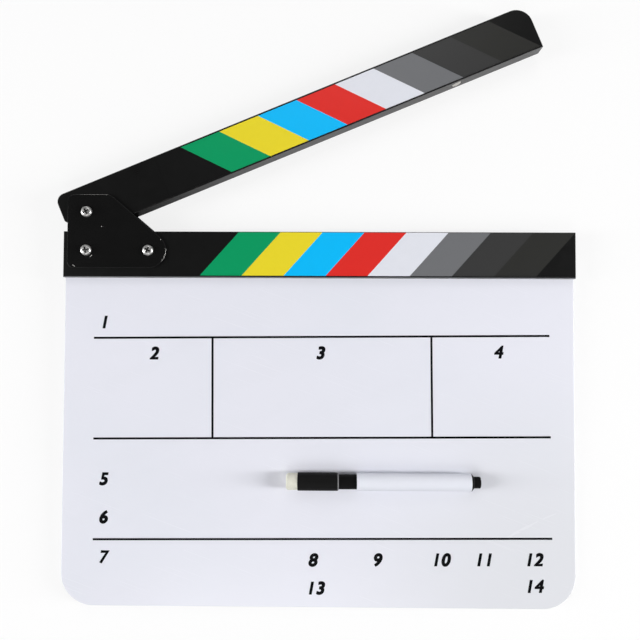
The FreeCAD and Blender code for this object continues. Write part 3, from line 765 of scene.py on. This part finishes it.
# Marker's barrel and grip
# Injection-moulded plastic, white for the barrel and black for the grip, with the fine matt skin of its
# mould. The grip is pressed into the front of the barrel and carries the seat for the cap.

BARREL_WHITE = (0.79, 0.80, 0.87, 1)
BARREL_SHADED = (0.75, 0.77, 0.84, 1)
FITTING_BLACK = (0.003, 0.003, 0.003, 1)
JET = (0.005, 0.005, 0.005, 1)
FLOW_WIDTH = 7 * MM
FLOW_STRETCH = 3
SKIN_SIZE = 0.25 * MM
SKIN_HEIGHT = 0.006 * MM


def moulded(name, colour, deeper, roughness, shine):
    """Plastic with the lines of its flow into the mould and the mould's fine skin."""
    plastic = Finish(name, {"Specular IOR Level": shine})
    flow = plastic.grain(FLOW_WIDTH, stretch=(FLOW_STRETCH, 1, 1), detail=3.0)
    skin = plastic.grain(SKIN_SIZE)
    plastic.vary({
        "Base Color": plastic.mix(flow, colour, deeper),
        "Roughness": roughness + 0.1 * flow + 0.06 * skin,
    })
    plastic.relief(skin, SKIN_HEIGHT)
    return plastic


moulded("white_barrel", BARREL_WHITE, BARREL_SHADED, roughness=0.45, shine=0.3).dress("pen_barrel")
fittings = moulded("black_fittings", FITTING_BLACK, JET, roughness=0.5, shine=0.08)
fittings.dress("pen_grip")

# Marker's end plug
# The same black plastic, with a spigot that is pressed into the back of the barrel. Its flange closes the
# barrel's wall and narrows to a knob.

PLUG_SIDES = 72
KNOB_RADIUS = 3.3 * MM
KNOB_ROUND = 0.5 * MM
KNOB_ROUND_STEPS = 4
FLARE_LENGTH = 1.8 * MM
FLANGE_RIM = 0.4 * MM
SPIGOT_RADIUS = 4.1 * MM
ALONG_MARKER = (0, math.pi / 2, 0)
plug_low, plug_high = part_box("pen_end_plug")
flange_radius = (plug_high.z - plug_low.z) / 2
barrel_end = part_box("pen_barrel")[1].x
flare_end = barrel_end + FLARE_LENGTH
plug_axis = (plug_low + plug_high) / 2

deselect()
knob_middle = ((flare_end + plug_high.x) / 2, plug_axis.y, plug_axis.z)
bpy.ops.mesh.primitive_cylinder_add(vertices=PLUG_SIDES, radius=KNOB_RADIUS, depth=plug_high.x - flare_end,
                                    location=knob_middle, rotation=ALONG_MARKER)
plug = bpy.context.object
plug.name = "flared_plug"
settle()
pick(plug, lambda point: point.x > plug_high.x - FLAT_REACH)
bpy.ops.mesh.bevel(offset=KNOB_ROUND, segments=KNOB_ROUND_STEPS, affect="EDGES")
pick(plug, lambda point: point.x < flare_end + FLAT_REACH)

# Place and radius of each step, from the knob to the end of the spigot
steps = [
    (flare_end, KNOB_RADIUS),
    (barrel_end + FLANGE_RIM, flange_radius),
    (barrel_end, flange_radius),
    (barrel_end, SPIGOT_RADIUS),
    (plug_low.x, SPIGOT_RADIUS),
]
for (reach, spread), (next_reach, next_spread) in zip(steps, steps[1:]):
    bpy.ops.mesh.extrude_region_move(TRANSFORM_OT_translate={"value": (next_reach - reach, 0, 0)})
    bpy.ops.transform.resize(value=(1, next_spread / spread, next_spread / spread))
bpy.ops.object.mode_set(mode="OBJECT")
plug.select_set(True)
bpy.ops.object.shade_smooth_by_angle(angle=SMOOTH_ANGLE)
plug.data.materials.append(fittings.material)
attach(plug, "pen")
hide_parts("pen_end_plug")

# Marker's cap
# A black moulded tube that snaps over the seat in front of the grip, with a cup for the felt in its closed
# end. A pale painted highlight runs round the rim of its mouth.

CAP_RIM_WIDTH = 0.9 * MM
CAP_SHADED = (0.007, 0.007, 0.007, 1)
CAP_RIM_HIGHLIGHT = (0.16, 0.16, 0.165, 1)
cap_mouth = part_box("pen_cap")[1].x
cap_black = moulded("black_cap", JET, CAP_SHADED, roughness=0.5, shine=0.1)
along = cap_black.along(cap_black.place())[0]
# Painted highlight: a pale band round the rim of the cap's mouth.
rim_highlight = cap_black.fade(abs(along - cap_mouth), CAP_RIM_WIDTH, CAP_RIM_WIDTH / 2)
cap_black.cover(rim_highlight, CAP_RIM_HIGHLIGHT)
cap_black.dress("pen_cap")

# Marker's nib and ink store
# The nib is a bundle of bonded polyester fibres, pressed into the grip and soaked black. The ink store
# behind it is looser fibre.

FIBRE_SOAKED = (0.005, 0.005, 0.006, 1)
FIBRE_DRY = (0.03, 0.03, 0.035, 1)
STRAND_WIDTH = 0.18 * MM
STRAND_STRETCH = 25
STRAND_DEPTH = 0.05 * MM
fibre = Finish("inked_fibre", {"Specular IOR Level": 0.2})
strands = fibre.grain(STRAND_WIDTH, stretch=(STRAND_STRETCH, 1, 1), detail=3.0)
fibre.vary({
    "Base Color": fibre.mix(strands, FIBRE_SOAKED, FIBRE_DRY),
    "Roughness": 0.7 + 0.2 * strands,
})
fibre.relief(strands, STRAND_DEPTH)
fibre.dress("pen_nib", "pen_ink_core")

# Felt eraser
# A plug of pressed cream wool felt, glued into the cup in the cap's end and swollen beyond it. Its rim is
# rounded by use, and loose fibres leave its surface uneven.

FELT_SIDES = 72
FELT_ROUND = 1.4 * MM
FELT_ROUND_STEPS = 5
FELT_RINGS = 12
FELT_FACE_RINGS = 3
FELT_FACE_RING_SHARE = 1 / 5
FELT_LUMP = 1.3 * MM
FELT_LUMP_LAYERS = 3
FELT_LIFT = 0.4 * MM
FELT_LIFT_ROOM = FELT_LIFT / 4
FELT_SEAT_INSET = 0.5 * MM
FELT_SMOOTH_ANGLE = math.radians(50)
FELT_CREAM = (0.86, 0.855, 0.76, 1)
FELT_SHADED = (0.62, 0.61, 0.51, 1)
FUZZ_SIZE = 0.3 * MM
FUZZ_HEIGHT = 0.16 * MM
TUFT_SIZE = 1.6 * MM
felt_low, felt_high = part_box("pen_eraser")
cap_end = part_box("pen_cap")[0].x
felt_axis = (felt_low + felt_high) / 2
felt_length = cap_end - felt_low.x
felt_radius = (felt_high.z - felt_low.z) / 2 - FELT_LIFT_ROOM
felt_middle = Vector((felt_low.x + felt_length / 2, felt_axis.y, felt_axis.z))

deselect()
bpy.ops.mesh.primitive_cylinder_add(vertices=FELT_SIDES, radius=felt_radius, depth=felt_length,
                                    location=felt_middle, rotation=ALONG_MARKER)
eraser = bpy.context.object
eraser.name = "felt_eraser"
settle()
pick(eraser, lambda point: point.x < felt_middle.x)
bpy.ops.mesh.bevel(offset=FELT_ROUND, segments=FELT_ROUND_STEPS, affect="EDGES")
pick(eraser, lambda point: point.x < felt_low.x + FLAT_REACH)
for ring in range(FELT_FACE_RINGS):
    bpy.ops.mesh.inset(thickness=felt_radius * FELT_FACE_RING_SHARE)
pick(eraser, lambda point: point.x > cap_end - FLAT_REACH)
bpy.ops.mesh.inset(thickness=FELT_SEAT_INSET)
bpy.ops.mesh.extrude_region_move(TRANSFORM_OT_translate={"value": (felt_high.x - cap_end, 0, 0)})
for ring in range(FELT_RINGS):
    cut_at = felt_low.x + FELT_ROUND + (felt_length - FELT_ROUND) * ring / FELT_RINGS
    bpy.ops.mesh.select_all(action="SELECT")
    bpy.ops.mesh.bisect(plane_co=(cut_at, 0, 0), plane_no=(1, 0, 0))
bpy.ops.object.mode_set(mode="OBJECT")
apply_modifier(eraser, "SUBSURF", {"levels": 1, "render_levels": 1, "subdivision_type": "SIMPLE"})
lumps = bpy.data.textures.new("felt_lumps", "CLOUDS")
lumps.noise_scale = FELT_LUMP
lumps.noise_depth = FELT_LUMP_LAYERS
apply_modifier(eraser, "DISPLACE", {"texture": lumps, "texture_coords": "LOCAL", "strength": FELT_LIFT})
eraser.select_set(True)
bpy.ops.object.shade_smooth_by_angle(angle=FELT_SMOOTH_ANGLE)

felt = Finish("cream_felt", {"Specular IOR Level": 0.15, "Sheen Weight": 0.35})
fuzz = felt.grain(FUZZ_SIZE, detail=4.0)
tuft = felt.grain(TUFT_SIZE, detail=3.0)
felt.vary({
    "Base Color": felt.mix(0.6 * fuzz + 0.4 * tuft, FELT_CREAM, FELT_SHADED),
    "Roughness": 0.9 + 0.1 * fuzz,
})
felt.relief(fuzz, FUZZ_HEIGHT)
eraser.data.materials.append(felt.material)
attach(eraser, "cap")
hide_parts("pen_eraser")

# Studio
# A pale table under a white sweep, lit by a soft box from below the slate, a weaker one from above it and a
# tall strip on each side. The board lies on the pivot screw, a corner of the slate and the lower stick's end.

FLOOR_SIZE = 6.0
FLOOR_GAP = 0.1 * MM
FLOOR_WHITE = (0.9, 0.9, 0.9, 1)
SLATE_CORNER_INSET = 4.5 * MM
SEEN_WHITE_SHARE = 0.8
MIRRORED_WHITE_SHARE = 0.3
SWEEP_WHITE = (0.94, 0.94, 0.94, 1)
SWEEP_LIGHT = (0.5, 0.5, 0.5, 1)
DARK_CEILING = (0.05, 0.05, 0.05, 1)
CEILING_RANGE = (0.05, 0.6)
HINGE_SHADE = 0.87
HINGE_SHADE_START = 5 * MM
HINGE_SHADE_END = 132 * MM
slate_low, slate_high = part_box("slate_board")
stick_low, stick_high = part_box("lower_stick")
tail_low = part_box("pivot_screw")[0]
corner_reach = Vector((-SLATE_CORNER_INSET, SLATE_CORNER_INSET, 0))
slate_corner = Vector((slate_high.x, slate_low.y, slate_low.z)) + corner_reach
screw_tail = Vector((PIVOT.x, PIVOT.y, tail_low.z))
stick_end = Vector((stick_high.x, stick_low.y, stick_low.z))
floor_up = (stick_end - slate_corner).cross(screw_tail - slate_corner).normalized()

deselect()
bpy.ops.mesh.primitive_plane_add(size=FLOOR_SIZE, location=slate_corner - FLOOR_GAP * floor_up,
                                 rotation=floor_up.to_track_quat("Z", "Y").to_euler())
floor = bpy.context.object
floor.name = "floor"
settle()
table = Finish("pale_table", {"Base Color": FLOOR_WHITE, "Roughness": 0.9, "Specular IOR Level": 0.1})


def background_rays(finish):
    """1 for the rays that see the background straight, and 1 for those that see it in or through a piece."""
    seen = finish.node("LightPath", {}, {}, "Is Camera Ray")
    mirrored = finish.node("LightPath", {}, {}, "Is Glossy Ray")
    through = finish.node("LightPath", {}, {}, "Is Transmission Ray")
    return seen, mirrored + through


straight, mirrored = background_rays(table)
lit_table = Wire(table, table.shader.outputs[0])
white = table.node("Emission", {}, {"Color": (1, 1, 1, 1), "Strength": 1.0})
whiteness = straight * SEEN_WHITE_SHARE + mirrored * MIRRORED_WHITE_SHARE
whitened = table.node("MixShader", {}, {0: whiteness, 1: lit_table, 2: white})

# The sticks shade the table under the hinge, which dims what their paint mirrors there
black = table.node("Emission", {}, {"Strength": 0.0})
shade = mirrored * HINGE_SHADE * table.fade(table.reach(PIVOT), HINGE_SHADE_END, HINGE_SHADE_START)
shaded = table.node("MixShader", {}, {0: shade, 1: whitened, 2: black})
table.feed(table.tree.nodes["Material Output"], {"Surface": shaded})
floor.data.materials.append(table.material)


class Sweep(Finish):
    """The world as a finish: what is seen in each direction."""

    def __init__(self, name):
        world = bpy.data.worlds.new(name)
        world.use_nodes = True
        bpy.context.scene.world = world
        self.tree = world.node_tree
        self.shader = self.tree.nodes["Background"]


sweep = Sweep("white_sweep")
rise = sweep.along(sweep.node("TexCoord", {}, {}, "Generated"))[2]
ceiling = sweep.fade(rise, *CEILING_RANGE)
light = sweep.mix(ceiling, SWEEP_LIGHT, DARK_CEILING)
backdrop = sweep.mix(ceiling, SWEEP_WHITE, DARK_CEILING)
straight, mirrored = background_rays(sweep)
unseen = sweep.mix(mirrored * MIRRORED_WHITE_SHARE, light, backdrop)
sweep.vary({"Color": sweep.mix(straight, unseen, SWEEP_WHITE)})

board_middle = Vector((0, (slate_low.y + slate_high.y) / 2, 0))


def soft_box(name, offset, width, height, power):
    """A soft light at an offset from the middle of the board, facing it."""
    lamp = bpy.data.lights.new(name, "AREA")
    lamp.shape = "RECTANGLE"
    lamp.size = width
    lamp.size_y = height
    lamp.energy = power
    holder = bpy.data.objects.new(name, lamp)
    bpy.context.scene.collection.objects.link(holder)
    holder.location = board_middle + Vector(offset)
    holder.rotation_euler = (-Vector(offset)).to_track_quat("-Z", "Y").to_euler()


soft_box("key_box", offset=(-0.1, -0.92, 1.18), width=0.75, height=0.75, power=5.3)
soft_box("left_strip", offset=(-1.25, -0.03, 0.54), width=0.25, height=1.0, power=14.3)
soft_box("right_strip", offset=(1.25, -0.03, 0.54), width=0.25, height=1.0, power=19.3)
soft_box("top_box", offset=(0.0, 1.1, 1.1), width=0.6, height=0.6, power=3.3)

# Camera
# Straight above the slate, as in the photograph, with a slightly wide lens. Its place and turn were fitted to
# the outline of the board.

CAMERA_PLACE = Vector((5.24, 154.61, 404.61)) * MM
CAMERA_TURN = (0.0314, 0.0105, 0.0044)
SENSOR = 36.0
IMAGE_WIDTH = 640
FOCAL_PIXELS = 684.32
CLIP_START = 10 * MM

eye = bpy.data.cameras.new("camera")
eye.sensor_width = SENSOR
eye.sensor_fit = "HORIZONTAL"
eye.lens = FOCAL_PIXELS / IMAGE_WIDTH * SENSOR
eye.clip_start = CLIP_START
camera = bpy.data.objects.new("camera", eye)
camera.location = CAMERA_PLACE
camera.rotation_euler = CAMERA_TURN
bpy.context.scene.collection.objects.link(camera)
bpy.context.scene.camera = camera
bpy.context.scene.view_settings.view_transform = "Standard"
